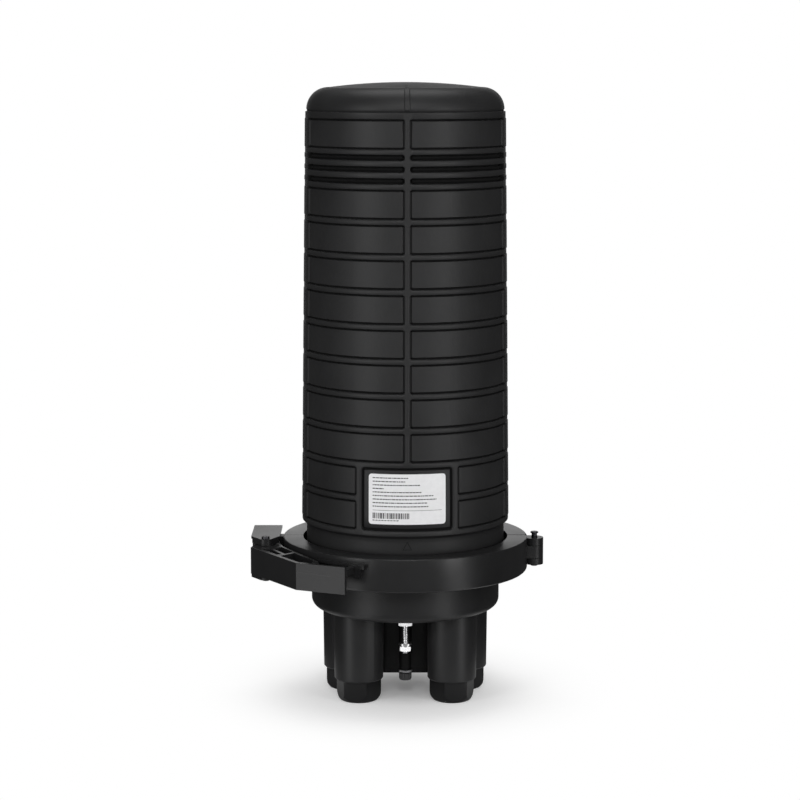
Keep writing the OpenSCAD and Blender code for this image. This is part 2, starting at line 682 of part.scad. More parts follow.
dome_cover();
label();
clamp_half_front();
clamp_half_rear();
hinge_pin();
latch_lever();
lever_pin();
latch_link();
link_pin();
base_body();
dome_seal_ring();
gland_nut(0);  // gland_nut_1
gland_nut(1);  // gland_nut_2
gland_nut(2);  // gland_nut_3
gland_nut(3);  // gland_nut_4
cable_grommet(0);  // cable_grommet_1
cable_grommet(1);  // cable_grommet_2
cable_grommet(2);  // cable_grommet_3
cable_grommet(3);  // cable_grommet_4
oval_seal_block();
oval_port_plugs();
oval_press_plate();
oval_plate_screws();
test_valve_body();
test_valve_nut();
test_valve_cap();
earth_stud();
earth_collar();
earth_spring_washer();
earth_washer();
earth_nut();
earth_inner_nut();
tray_bracket();
bracket_screws();
fibre_basket();
basket_rivets();
tray_comb();
splice_tray(0);  // splice_tray_1
splice_tray(1);  // splice_tray_2
splice_tray(2);  // splice_tray_3
splice_tray(3);  // splice_tray_4
splice_tray(4);  // splice_tray_5
splice_tray(5);  // splice_tray_6
tray_hinge_pins();
tray_cover();
tray_strap();
strength_clamps();
strength_clamp_screws();
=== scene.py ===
# Finish of the dome splice closure: ribbed dome, clamp ring and latch, base cup, ports and earth hardware.
# New pieces are numpy surfaces, worked out in mm. Angles run round the closure's axis from its front.
import math

import bmesh
import bpy
import numpy as np
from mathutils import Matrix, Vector


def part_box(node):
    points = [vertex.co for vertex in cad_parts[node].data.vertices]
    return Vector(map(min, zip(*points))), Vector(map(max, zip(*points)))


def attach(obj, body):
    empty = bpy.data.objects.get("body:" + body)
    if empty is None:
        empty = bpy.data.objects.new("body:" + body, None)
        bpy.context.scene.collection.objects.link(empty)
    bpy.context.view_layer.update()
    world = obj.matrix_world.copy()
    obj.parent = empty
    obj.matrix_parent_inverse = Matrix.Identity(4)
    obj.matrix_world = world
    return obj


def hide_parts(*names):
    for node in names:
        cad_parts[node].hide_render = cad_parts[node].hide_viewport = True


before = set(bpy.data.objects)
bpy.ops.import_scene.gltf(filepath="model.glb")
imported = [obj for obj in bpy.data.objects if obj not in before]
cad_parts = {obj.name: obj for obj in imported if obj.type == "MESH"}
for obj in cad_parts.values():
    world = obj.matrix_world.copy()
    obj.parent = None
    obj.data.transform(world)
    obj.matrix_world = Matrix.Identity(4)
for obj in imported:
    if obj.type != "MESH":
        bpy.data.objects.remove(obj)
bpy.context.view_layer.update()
mm = 0.001
mergeDistance = 2e-6     # metres within which two points are one
sliver = 1e-7            # metres under which an edge is nothing


def nodeBox(name):
    # lowest and highest corner of a frame node, in mm
    return np.array(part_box(name)) / mm


def gridFaces(rows, columns, wrapRows, wrapColumns):
    # quads between neighbouring points of a rows x columns grid
    r = np.arange(rows if wrapRows else rows - 1)
    c = np.arange(columns if wrapColumns else columns - 1)
    r, c = np.meshgrid(r, c, indexing="ij")
    here, above, side = r * columns, (r + 1) % rows * columns, (c + 1) % columns
    quads = np.stack([here + c, here + side, above + side, above + c], -1)
    return quads.reshape(-1, 4).tolist()


def revolve(profile, columns, centre, start=0.0, modulate=None):
    # a closed profile of (radius, height) carried once round an upright axis: x = r * sin(angle),
    # y = -r * cos(angle), from the centre; modulate(angle, radius, height) gives new radii
    profile = np.asarray(profile, float)
    angles = np.radians(np.linspace(start, start + 360, columns, endpoint=False))
    radius = np.repeat(profile[:, :1], columns, 1)
    height = np.repeat(profile[:, 1:], columns, 1)
    if modulate is not None:
        radius = modulate(angles, radius, height)
    x, y = centre[0] + radius * np.sin(angles), centre[1] - radius * np.cos(angles)
    points = np.stack([x, y, height], -1)
    return points.reshape(-1, 3) * mm, gridFaces(len(profile), columns, True, True)


def joined(*shapes):
    # several (points, faces) shapes as one
    points, faces, offset = [], [], 0
    for shapePoints, shapeFaces in shapes:
        points.append(shapePoints)
        faces += [[i + offset for i in face] for face in shapeFaces]
        offset += len(shapePoints)
    return np.vstack(points), faces


def addObject(name, data):
    # a new object in the scene
    obj = bpy.data.objects.new(name, data)
    bpy.context.scene.collection.objects.link(obj)
    return obj


def finishPiece(obj, body, nodes, material):
    # a piece's material and its place in the frame
    obj.data.materials.clear()
    obj.data.materials.append(material)
    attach(obj, body)
    if nodes:
        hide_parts(*nodes)


def piece(name, shape, body, nodes, material, sharp, attribute=None, closed=True):
    # one finished object; a closed one has its doubles merged and its faces turned outwards;
    # edges that turn more than the sharp angle stay sharp
    points, faces = shape
    mesh = bpy.data.meshes.new(name)
    mesh.from_pydata(points.tolist(), [], faces)
    if attribute is not None:
        layer = mesh.attributes.new(attribute[0], "FLOAT", "POINT")
        layer.data.foreach_set("value", np.asarray(attribute[1], np.float32).ravel())
    if closed:
        shell = bmesh.new()
        shell.from_mesh(mesh)
        bmesh.ops.remove_doubles(shell, verts=shell.verts, dist=mergeDistance)
        bmesh.ops.dissolve_degenerate(shell, edges=shell.edges, dist=sliver)
        bmesh.ops.recalc_face_normals(shell, faces=shell.faces)
        shell.to_mesh(mesh)
        shell.free()
    mesh.shade_smooth()
    mesh.set_sharp_from_angle(angle=math.radians(sharp))
    obj = addObject(name, mesh)
    finishPiece(obj, body, nodes, material)
    return obj


def softened(node, body, material, edges):
    # a merged copy of a frame node, its loose triangles joined into flat faces where they lie in one plane,
    # and its edges rounded where they turn more than the crease angle
    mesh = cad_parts[node].data.copy()
    shell = bmesh.new()
    shell.from_mesh(mesh)
    bmesh.ops.remove_doubles(shell, verts=shell.verts, dist=mergeDistance)
    bmesh.ops.dissolve_limit(shell, angle_limit=math.radians(0.1), verts=shell.verts, edges=shell.edges)
    shell.to_mesh(mesh)
    shell.free()
    for attributeName in [a.name for a in mesh.attributes if a.name in ("custom_normal", "sharp_face")]:
        mesh.attributes.remove(mesh.attributes[attributeName])
    mesh.shade_smooth()
    obj = addObject(node + "_finished", mesh)
    rounding = obj.modifiers.new("edgeRounding", "BEVEL")
    rounding.width = edges["rounding"] * mm
    rounding.segments = 3
    rounding.limit_method = "ANGLE"
    rounding.angle_limit = math.radians(edges["crease"])
    rounding.harden_normals = True
    finishPiece(obj, body, [node], material)


def arcPoints(centreR, centreZ, radius, fromAngle, toAngle, steps):
    # points of a round corner in a profile: centre + radius * (cos, sin) of evenly spaced angles
    angles = np.radians(np.linspace(fromAngle, toAngle, steps))
    return [(centreR + radius * math.cos(a), centreZ + radius * math.sin(a)) for a in angles]


def roundedProfile(corners):
    # a closed profile whose corners (r, z, rounding) are replaced by arcs that touch both sides;
    # an arc takes up less than half of either side
    corners = [(np.array(c[:2], float), c[2]) for c in corners]
    points = []
    for i, (here, rounding) in enumerate(corners):
        if rounding <= 0:
            points.append(tuple(here))
            continue
        before, after = corners[i - 1][0] - here, corners[(i + 1) % len(corners)][0] - here
        lengthBefore, lengthAfter = np.linalg.norm(before), np.linalg.norm(after)
        before, after = before / lengthBefore, after / lengthAfter
        half = math.acos(np.clip(np.dot(before, after), -1, 1)) / 2
        reach = min(rounding / math.tan(half), 0.49 * lengthBefore, 0.49 * lengthAfter)
        rounding = reach * math.tan(half)
        between = (before + after) / np.linalg.norm(before + after)
        centre = here + between * rounding / math.sin(half)
        startArm, endArm = here + before * reach - centre, here + after * reach - centre
        for t in np.linspace(0, 1, 3):
            arm = startArm * (1 - t) + endArm * t
            points.append(tuple(centre + arm / np.linalg.norm(arm) * rounding))
    return points


# what each kind of finish has in common; a noise is (scale, detail) and a depth is in metres
mouldedLook = {
    "cloud": (28, 3), "darker": 0.86, "lighter": 1.12, "glossSpread": 0.03,
    "grain": (2600, 2), "grainStrength": 0.12, "grainDepth": 0.0002,
    "grooveShadeColour": 0.12, "grooveRoughness": 0.5,      # share of the colour kept in grooves as painted shade, and what the roughness gains
}
metalLook = {
    "stain": (60, 3), "stained": 0.9, "lines": (900, 2), "stretch": (1, 1, 12),
    "duller": 0.08, "brighter": 0.06, "lineStrength": 0.06, "lineDepth": 0.0001,
}
plainLook = {"detail": 3, "darker": 0.94, "depth": 0.0002}


def newMaterial(name):
    # a material, its node tree and its shader
    material = bpy.data.materials.new(name)
    material.use_nodes = True
    return material, material.node_tree, material.node_tree.nodes["Principled BSDF"]


def scaled(colour, share):
    # a darker or lighter shade of a colour
    return tuple(c * share for c in colour)


def bumpFrom(tree, shader, source, strength, depth):
    # small heights on the surface from a noise
    bump = tree.nodes.new("ShaderNodeBump")
    bump.inputs["Strength"].default_value = strength
    bump.inputs["Distance"].default_value = depth
    tree.links.new(source, bump.inputs["Height"])
    tree.links.new(bump.outputs["Normal"], shader.inputs["Normal"])


def noiseOn(tree, scale, detail, stretch=(1, 1, 1)):
    # noise that lies still on the piece
    place = tree.nodes.new("ShaderNodeTexCoord")
    mapping = tree.nodes.new("ShaderNodeMapping")
    mapping.inputs["Scale"].default_value = stretch
    noise = tree.nodes.new("ShaderNodeTexNoise")
    noise.inputs["Scale"].default_value = scale
    noise.inputs["Detail"].default_value = detail
    tree.links.new(place.outputs["Object"], mapping.inputs["Vector"])
    tree.links.new(mapping.outputs["Vector"], noise.inputs["Vector"])
    return noise.outputs["Fac"]


def rampBetween(tree, source, low, high):
    # colours from low to high over the middle of a noise
    ramp = tree.nodes.new("ShaderNodeValToRGB")
    for element, position, colour in zip(ramp.color_ramp.elements, (0.3, 0.7), (low, high)):
        element.position = position
        element.color = (*colour, 1)
    tree.links.new(source, ramp.inputs["Fac"])
    return ramp.outputs["Color"]


def mathNode(tree, operation, first, second=0.0):
    # one sum on numbers or on other nodes' outputs
    node = tree.nodes.new("ShaderNodeMath")
    node.operation = operation
    for socket, value in zip(node.inputs, (first, second)):
        if isinstance(value, (int, float)):
            socket.default_value = value
        else:
            tree.links.new(value, socket)
    return node.outputs[0]


def mouldedPlastic(name, colour, roughness, specular, paintedGrooveShade=False):
    # black moulded plastic: fine erosion grain, faint cloudiness in colour and gloss;
    # where the mesh's attribute marks grooves, painted shade darkens the colour and the gloss is duller
    look, spread = mouldedLook, mouldedLook["glossSpread"]
    material, tree, shader = newMaterial(name)
    cloud = noiseOn(tree, *look["cloud"])
    tint = rampBetween(tree, cloud, scaled(colour, look["darker"]), scaled(colour, look["lighter"]))
    gloss = rampBetween(tree, cloud, (roughness - spread,) * 3, (roughness + spread,) * 3)
    if paintedGrooveShade:
        # painted shade: the colour turns to a dark share of itself in the grooves that the mesh's attribute
        # marks
        shade = tree.nodes.new("ShaderNodeAttribute")
        shade.attribute_name = "grooveShade"
        mix = tree.nodes.new("ShaderNodeMix")
        mix.data_type = "RGBA"
        mix.inputs["B"].default_value = (*scaled(colour, look["grooveShadeColour"]), 1)
        tree.links.new(shade.outputs["Fac"], mix.inputs["Factor"])
        tree.links.new(tint, mix.inputs["A"])
        tint = mix.outputs["Result"]
        dull = mathNode(tree, "MULTIPLY", shade.outputs["Fac"], look["grooveRoughness"])
        gloss = mathNode(tree, "ADD", gloss, dull)
    tree.links.new(tint, shader.inputs["Base Color"])
    tree.links.new(gloss, shader.inputs["Roughness"])
    shader.inputs["Specular IOR Level"].default_value = specular
    bumpFrom(tree, shader, noiseOn(tree, *look["grain"]), look["grainStrength"], look["grainDepth"])
    return material


def metal(name, colour, roughness):
    # turned or rolled metal: fine lines along the work, faint stains
    look = metalLook
    material, tree, shader = newMaterial(name)
    shader.inputs["Metallic"].default_value = 1.0
    stain = noiseOn(tree, *look["stain"])
    tint = rampBetween(tree, stain, scaled(colour, look["stained"]), colour)
    tree.links.new(tint, shader.inputs["Base Color"])
    lines = noiseOn(tree, *look["lines"], look["stretch"])
    gloss = rampBetween(tree, lines, (roughness - look["brighter"],) * 3, (roughness + look["duller"],) * 3)
    tree.links.new(gloss, shader.inputs["Roughness"])
    bumpFrom(tree, shader, lines, look["lineStrength"], look["lineDepth"])
    return material


def plain(name, colour, roughness, scale=300, bump=0.05, alpha=1.0):
    # a simple finish with a faint surface of its own
    look = plainLook
    material, tree, shader = newMaterial(name)
    noise = noiseOn(tree, scale, look["detail"])
    tint = rampBetween(tree, noise, scaled(colour, look["darker"]), colour)
    tree.links.new(tint, shader.inputs["Base Color"])
    shader.inputs["Roughness"].default_value = roughness
    shader.inputs["Alpha"].default_value = alpha
    bumpFrom(tree, shader, noise, bump, look["depth"])
    return material


domePlastic = mouldedPlastic("dome plastic", (0.0200, 0.0200, 0.0205), 0.50, 0.30, paintedGrooveShade=True)
markPlastic = mouldedPlastic("mark plastic", (0.0100, 0.0100, 0.0105), 0.50, 0.20)
ringPlastic = mouldedPlastic("ring plastic", (0.0150, 0.0150, 0.0155), 0.32, 0.32)
latchPlastic = mouldedPlastic("latch plastic", (0.0150, 0.0150, 0.0155), 0.32, 0.40)
basePlastic = mouldedPlastic("base plastic", (0.0150, 0.0150, 0.0155), 0.41, 0.32)
nutPlastic = mouldedPlastic("nut plastic", (0.0070, 0.0070, 0.0074), 0.36, 0.24)
# the lever's raised line is lighter than the latch: painted highlight where its edges would catch the light
leverLineHighlight = mouldedPlastic("lever line painted highlight", (0.0340, 0.0340, 0.0350), 0.36, 0.40)
valveRubber = mouldedPlastic("valve rubber", (0.0040, 0.0040, 0.0042), 0.60, 0.12)
brightSteel = metal("bright steel", (0.82, 0.82, 0.83), 0.24)
sheetSteel = metal("zinc plated sheet", (0.62, 0.64, 0.66), 0.34)
blackPin = metal("black coated steel", (0.05, 0.05, 0.055), 0.36)
valveRing = metal("knurled ring", (0.42, 0.42, 0.43), 0.30)
sealRubber = plain("seal rubber", (0.018, 0.018, 0.019), 0.70)
capPlastic = plain("valve cap plastic", (0.034, 0.034, 0.035), 0.45)
labelFilm = plain("label film", (0.93, 0.93, 0.94), 0.42, bump=0.01)
labelInk = plain("label ink", (0.022, 0.022, 0.024), 0.50, bump=0.0)
trayPlastic = plain("tray plastic", (0.07, 0.15, 0.34), 0.35)
innerPlastic = plain("inner black plastic", (0.025, 0.025, 0.027), 0.50)
clearCover = plain("clear cover", (0.85, 0.90, 0.92), 0.08, bump=0.0, alpha=0.3)
strapWeave = plain("strap weave", (0.02, 0.02, 0.02), 0.85, scale=1800, bump=0.5)
print("stage: materials")

domeBox = nodeBox("dome_cover")
dome = {
    "top": domeBox[1][2],        # height of the crown
    "jointZ": domeBox[0][2],     # face that meets the base
    # the fillet at the flange's top gets painted shade, where the clamp's gap shades it
    "flangeR": 86.0, "flangeT": 5.4, "fillet": 1.5, "filletPaintedShade": 0.8,
    "neckR": 74.6, "footR": 77.9, "ribFootZ": 134.5, "draft": 0.7, "meanR": 76.0,
    "turn": 1.0,                 # degrees that the ribs are turned
    # painted shade on the neck against height, where the clamp's gap shades it
    "neckPaintedShade": ((119.5, 0.8), (121.0, 0.5), (122.6, 0.2), (124.5, 0.0)),
    # (radius, height) of the step out to the ribs, from neckR and from footR, and from ribFootZ
    "neckStep": ((0, -6), (0, -2.5), (0.2, -2.2)),
    "footStep": ((-0.5, -0.45), (-0.12, -0.2), (0, 0.3)),
    # recesses: one panel over the slots, then rows of panels
    "panelH": 21.7, "pitch": 25.1, "rowsTop": 385.5, "rows": 10, "topPanelTop": 435.4, "cornerR": 2.0,
    "slotsTop": 410.3, "slotH": 4.4, "slotPitch": 8.35, "slots": 3,
    "centreRib": 3.4, "ribFade": 0.5, "sideAngle": 72.0, "sideUnder": 1.5,
    # label pocket, and where the panels beside it start
    "pocketAngle": 25.7, "pocketCorner": 3.0, "labelColumn": 28.6,
    # surface level against the distance from a recess's edge, in mm (outside is positive)
    "panelEdge": ([-9, -1.7, -1.2, -0.4, 0.0, 0.3], [-1.0, -1.05, -2.1, -2.1, -0.3, 0.0]),
    "slotEdge": ([-9, -1.6, -1.2, -0.3, 0.0, 0.3], [-1.3, -1.35, -3.0, -3.0, -0.3, 0.0]),
    "pocketEdge": ([-9, -2.1, -1.5, -0.4, 0.0, 0.3], [-1.2, -1.23, -2.4, -2.4, -0.3, 0.0]),
    # grooves get painted shade from grooveLevel down, fully along the ribs and round the pocket, less
    # elsewhere
    "grooveLevel": 1.25, "grooveFade": 0.4, "ribReach": 1.6, "pocketReach": 2.6, "uprightGroove": 0.4,
    # pads at both sides: height over the ribs, how it falls at their ends and middle, and the distances
    # from their edge over which they rise from padFoot
    "padHeight": 0.45, "padFall": 0.3, "padEdge": (-0.1, 0.5), "padFoot": -3.0,
    # grid lines about the recesses' edges, in mm inwards
    "panelLines": np.array([-0.35, 0.0, 0.15, 0.3, 0.45, 0.7, 0.95, 1.2, 1.45, 1.7, 2.6]),
    "slotLines": np.array([-0.35, 0.0, 0.2, 0.4, 0.7, 1.0, 1.5]),
    "pocketLines": np.array([2.0, 2.3, 2.6, 3.0]),
    "uprightLines": np.array([-0.35, 0.0, 0.15, 0.3, 0.45, 0.7, 0.95, 1.2, 1.5, 2.0, 2.6]),
    "padLines": (0.1, 0.5), "columnStep": 4.0,      # degrees
    # cap: edge rounding, how far it is set in, and (radius, height, painted shade) of the narrow recess under
    # it
    "edgeR": 17.0, "setIn": 0.75, "edgeAngles": np.radians([2, *np.linspace(5, 88, 16)]),
    "capGroove": ((0, -1.5, 0), (-0.3, -1.35, 0), (-1.3, -1.2, 0.6), (-1.3, -0.6, 0.6)),
    "crownR": 56.5, "crownH": 2.9, "crownRings": 12,
    "crownRib": ([30, 47, 50, 51], [0, 0.5, 0.5, 0]),      # the centre rib's height on it against radius
    # inside: wall at the neck and at the cap, and where it widens, from footR and ribFootZ
    "wall": 3.0, "capWall": 4.5, "innerStep": (5.6, 20), "innerRings": 4,
}


def ribR(z):
    # radius over the ribs at a height, with the mould's draft
    return dome["footR"] - (z - dome["ribFootZ"]) * math.tan(math.radians(dome["draft"]))


def foldedAngle(theta):
    # degrees from the front or the back, whichever is nearer: front and back, left and right are alike
    return np.abs((theta + 90) % 180 - 90)


def boxDistance(s, z, s0, s1, z0, z1, corner):
    # signed distance to a rounded rectangle, negative inside
    qs = np.abs(s - (s0 + s1) / 2) - (s1 - s0) / 2 + corner
    qz = np.abs(z - (z0 + z1) / 2) - (z1 - z0) / 2 + corner
    return np.hypot(np.maximum(qs, 0), np.maximum(qz, 0)) + np.minimum(np.maximum(qs, qz), 0) - corner


def recessRows():
    # bottom and top height of each panel row, from the top, and of each slot
    d = dome
    panelTops = [d["topPanelTop"]] + [d["rowsTop"] - i * d["pitch"] for i in range(d["rows"])]
    slotTops = [d["slotsTop"] - i * d["slotPitch"] for i in range(d["slots"])]
    return [(top - d["panelH"], top) for top in panelTops], [(top - d["slotH"], top) for top in slotTops]


def domeLevel(theta, z):
    # height of the surface over the rib cone at an angle (degrees, front is 0) and a height: the lowest
    # of the recesses' edge curves, with the side pads over them; and the painted shade, growing with depth in
    # grooves (0 to 1)
    d = dome
    panels, slots = recessRows()
    folded = foldedAngle(theta)
    s = np.radians(folded) * ribR(z)
    ribHalf, sideS = d["centreRib"] / 2, math.radians(d["sideAngle"] + d["sideUnder"]) * ribR(z)
    level = np.zeros_like(z)
    for i, (z0, z1) in enumerate(panels):
        besideLabel = i > d["rows"] - 2      # the two lowest rows
        inner = math.radians(d["labelColumn"]) * ribR(z) if besideLabel else ribHalf
        distance = boxDistance(s, z, inner, sideS, z0, z1, d["cornerR"])
        level = np.minimum(level, np.interp(distance, *d["panelEdge"]))
    for z0, z1 in slots:
        distance = boxDistance(s, z, ribHalf, sideS, z0, z1, d["slotH"] / 2)
        level = np.minimum(level, np.interp(distance, *d["slotEdge"]))
    pocketTop, pocketFoot = panels[-2][1], panels[-1][0]
    pocketS = math.radians(d["pocketAngle"]) * ribR(z)
    distance = boxDistance(s, z, -pocketS, pocketS, pocketFoot, pocketTop, d["pocketCorner"])
    level = np.minimum(level, np.interp(distance, *d["pocketEdge"]))
    grooveShade = np.clip((-level - d["grooveLevel"]) / d["grooveFade"], 0, 1)
    fromRib = np.min([np.minimum(abs(z - z0), abs(z - z1)) for z0, z1 in panels + slots], axis=0)
    inPocketEdge = (distance > -d["pocketReach"]) & (distance < 0.1)
    grooveShade *= np.where((fromRib < d["ribReach"]) | inPocketEdge, 1.0, d["uprightGroove"])
    # nearly flat pads at both sides, one to each row
    onPadSide = math.radians(1) * ribR(z) * (folded - d["sideAngle"])
    acrossPad = (90 - folded) * 90 / (90 - d["sideAngle"]) * 2 - 90
    fall = d["padFall"] * (0.5 - 0.4 * np.cos(np.radians(acrossPad)))
    for z0, z1 in panels + slots:
        inside = np.minimum(onPadSide, np.minimum(z - z0, z1 - z))
        pad = np.interp(inside, d["padEdge"], (d["padFoot"], d["padHeight"])) - fall
        level = np.where(inside > d["padEdge"][0], np.maximum(level, pad), level)
    return level, grooveShade


def domeGrid():
    # heights of the wall's rows and angles of its columns, gathered about the recesses' edges
    d = dome
    panels, slots = recessRows()
    zLines = [panels[-2][1] - d["pocketLines"]]
    for z0, z1 in panels:
        zLines += [z0 + d["panelLines"], z1 - d["panelLines"], [(z0 + z1) / 2]]
    for z0, z1 in slots:
        zLines += [z0 + d["slotLines"], z1 - d["slotLines"]]
    edgeZ = d["top"] - d["crownH"] - d["edgeR"]
    zLines = np.unique(np.round(np.concatenate(zLines), 2))
    zLines = zLines[(zLines > d["ribFootZ"] + 0.6) & (zLines < edgeZ - 0.1)]      # between foot and cap
    perMm = 180 / math.pi / d["meanR"]      # degrees to a mm round the ribs
    borders = [(d["centreRib"] / 2 * perMm, 1), (d["sideAngle"], -1), (d["labelColumn"], 1),
               (d["pocketAngle"], -1)]
    quarter = [np.arange(0, 90.1, d["columnStep"]), [d["sideAngle"] + step for step in d["padLines"]]]
    quarter += [position + inward * (d["uprightLines"] * perMm) for position, inward in borders]
    quarter = np.unique(np.round(np.concatenate(quarter), 3))
    quarter = quarter[(quarter >= 0) & (quarter <= 90)]
    half = np.concatenate([quarter, (180 - quarter[::-1])[1:]])
    columns = np.concatenate([half, (360 - half[::-1])[1:-1]])
    return zLines, columns, edgeZ


def buildDome():
    # a closed grid of rings, each (radius, height, painted shade) against the angle: flange, neck, ribbed
    # wall with radius = cone + level, cap, and the inside back down
    d = dome
    zLines, columns, edgeZ = domeGrid()
    theta = (columns + 180) % 360 - 180
    count = len(columns)
    neckR, footR, footZ, fillet = d["neckR"], d["footR"], d["ribFootZ"], d["fillet"]
    flangeTop = d["jointZ"] + d["flangeT"]

    def evenRings(entries):
        # rings that are the same all round, from (radius, height, painted shade)
        return [np.repeat(np.array(entry, float)[:, None], count, 1) for entry in entries]

    rings = evenRings([(neckR - d["wall"], d["jointZ"], 0), (d["flangeR"], d["jointZ"], 0),
                       (d["flangeR"], flangeTop - fillet, 0), (d["flangeR"] - fillet, flangeTop, 0),
                       (neckR + fillet, flangeTop, 0)])
    corner = arcPoints(neckR + fillet, flangeTop + fillet, fillet, 270, 180, 5)
    # painted shade on the fillet and on the neck, down in the clamp's gap
    rings += evenRings([(r, z, d["filletPaintedShade"]) for r, z in corner])
    rings += evenRings([(neckR, z, shade) for z, shade in d["neckPaintedShade"]])
    rings += evenRings([(neckR + dr, footZ + dz, 0) for dr, dz in d["neckStep"]])
    rings += evenRings([(footR + dr, footZ + dz, 0) for dr, dz in d["footStep"]])
    thetaGrid, zGrid = np.meshgrid(theta, zLines)
    level, grooveShade = domeLevel(thetaGrid, zGrid)
    rings += list(np.stack([ribR(zGrid) + level, zGrid, grooveShade], 1))
    # rounded top edge, set in behind the last rib, with the centre rib carried over it
    across = np.radians(foldedAngle(theta)) * d["meanR"]
    ribMask = np.clip((d["centreRib"] / 2 + d["ribFade"] - across) / d["ribFade"], 0, 1)
    rim, unshaded = ribR(edgeZ), np.zeros(count)
    centreR, innerEdgeR = rim - d["edgeR"], d["edgeR"] - d["capWall"]
    # the recess under the cap gets painted shade in its colour
    rings += evenRings([(rim + dr, edgeZ + dz, shade) for dr, dz, shade in d["capGroove"]])
    edgeR = d["edgeR"] - d["setIn"] + ribMask * d["setIn"]
    rings += [np.array([centreR + edgeR * math.cos(a), edgeZ + edgeR * math.sin(a), unshaded])
              for a in d["edgeAngles"]]
    # crown: part of a sphere from the shoulder to the top
    rise = d["top"] - (edgeZ + d["edgeR"] - d["setIn"])
    sphereR = (d["crownR"] ** 2 + rise ** 2) / (2 * rise)
    for r in np.linspace(d["crownR"], 0, d["crownRings"]):
        z = d["top"] - (sphereR - math.sqrt(sphereR ** 2 - r * r))
        rings.append(np.array([np.full(count, r), z + ribMask * np.interp(r, *d["crownRib"]), unshaded]))
    # inside of the shell
    innerTop, (stepIn, stepUp) = d["top"] - d["capWall"], d["innerStep"]
    radii = np.linspace(0, centreR, d["innerRings"])
    rings += evenRings([(r, innerTop - d["crownH"] * (r / centreR) ** 2, 0) for r in radii])
    rings += evenRings([(r, z, 0) for r, z in arcPoints(centreR, edgeZ, innerEdgeR, 80, 0, 6)])
    rings += evenRings([(footR - stepIn, footZ + stepUp, 0), (neckR - d["wall"], footZ, 0)])
    radius, height, shade = np.swapaxes(rings, 0, 1)
    angle = np.radians(columns + d["turn"])
    points = np.stack([radius * np.sin(angle), -radius * np.cos(angle), height], -1) * mm
    shape = (points.reshape(-1, 3), gridFaces(len(rings), count, True, True))
    # the attribute carries the painted shade of the grooves into the dome's colour
    return piece("dome_shell", shape, "closure", ["dome_cover"], domePlastic, sharp=50,
                 attribute=("grooveShade", shade))


domeShell = buildDome()
print("stage: dome", len(domeShell.data.polygons), "faces")

label = {
    "midZ": (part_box("label")[0][2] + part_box("label")[1][2]) / 2 / mm,
    "width": 57.0, "height": 37.0, "shift": 1.3, "cornerR": 2.2,
    "padDepth": 1.2,                                # pad's depth under the ribs
    "filmBack": 0.02, "film": 0.25, "ink": 0.04,    # the film's two faces over the pad, and the ink's over it
    "columns": 40, "cornerRows": 7, "plainRows": [-8, 0, 8],
    # rows of dashes: share of the width, place, and the dashes' shortest length, spread and gap
    "lineShares": (0.52, 0.47, 0.68, 0.16, 0.70, 0.88, 0.92, 0.78, 0.80),
    "margin": 3.0, "firstLine": 3.2, "lineStep": 2.62, "lineH": 0.72,
    "dash": 0.8, "dashSpread": 1.9, "dashGap": 0.4,
    # thin rule and upright bars, as heights over the label's foot, and the stubs under the bars
    "rule": (10.2, 10.45), "bars": 28, "barUnit": 0.28, "barFoot": 4.2, "barH": 4.2,
    "stubs": 9, "stubStep": 2.2, "stubW": 1.6, "stubDrop": (1.6, 1.0),
}


def onPad(s, z, lift):
    # point on the label's pad from a distance round the dome and a height: radius = cone - depth + lift,
    # angle = distance / radius at the label's middle
    radius = ribR(z) - label["padDepth"] + lift
    angle = (s + label["shift"]) / (ribR(label["midZ"]) - label["padDepth"])
    return np.stack([radius * np.sin(angle), -radius * np.cos(angle), z], -1) * mm


def buildLabel():
    # rounded sheet: each row of the grid is as wide as the rounded outline is at that height
    halfW, halfH, corner = label["width"] / 2, label["height"] / 2, label["cornerR"]
    columns, turn = label["columns"], np.linspace(0, math.pi / 2, label["cornerRows"])
    v = np.concatenate([-halfH + corner * (1 - np.cos(turn)), label["plainRows"],
                        halfH - corner * (1 - np.cos(turn[::-1]))])
    rows = len(v)
    over = np.maximum(np.abs(v) - (halfH - corner), 0)
    halfRow = halfW - corner + np.sqrt(np.maximum(corner ** 2 - over ** 2, 0))
    s = halfRow[:, None] * np.linspace(-1, 1, columns)
    z = label["midZ"] + np.repeat(v[:, None], columns, 1)
    front, back = onPad(s, z, label["film"]), onPad(s, z, label["filmBack"])
    sheet = gridFaces(rows, columns, False, False)
    # index of each point of the grid's border, in order round it
    index = np.arange(rows * columns).reshape(rows, columns)
    border = np.concatenate([index[0], index[1:, -1], index[-1, -2::-1], index[-2:0:-1, 0]])
    after, behind = np.roll(border, -1), rows * columns
    rim = np.stack([border, after, after + behind, border + behind], -1).tolist()
    faces = sheet + [[i + behind for i in face[::-1]] for face in sheet] + rim
    shape = (np.vstack([front.reshape(-1, 3), back.reshape(-1, 3)]), faces)
    piece("label_film", shape, "closure", ["label"], labelFilm, sharp=60)


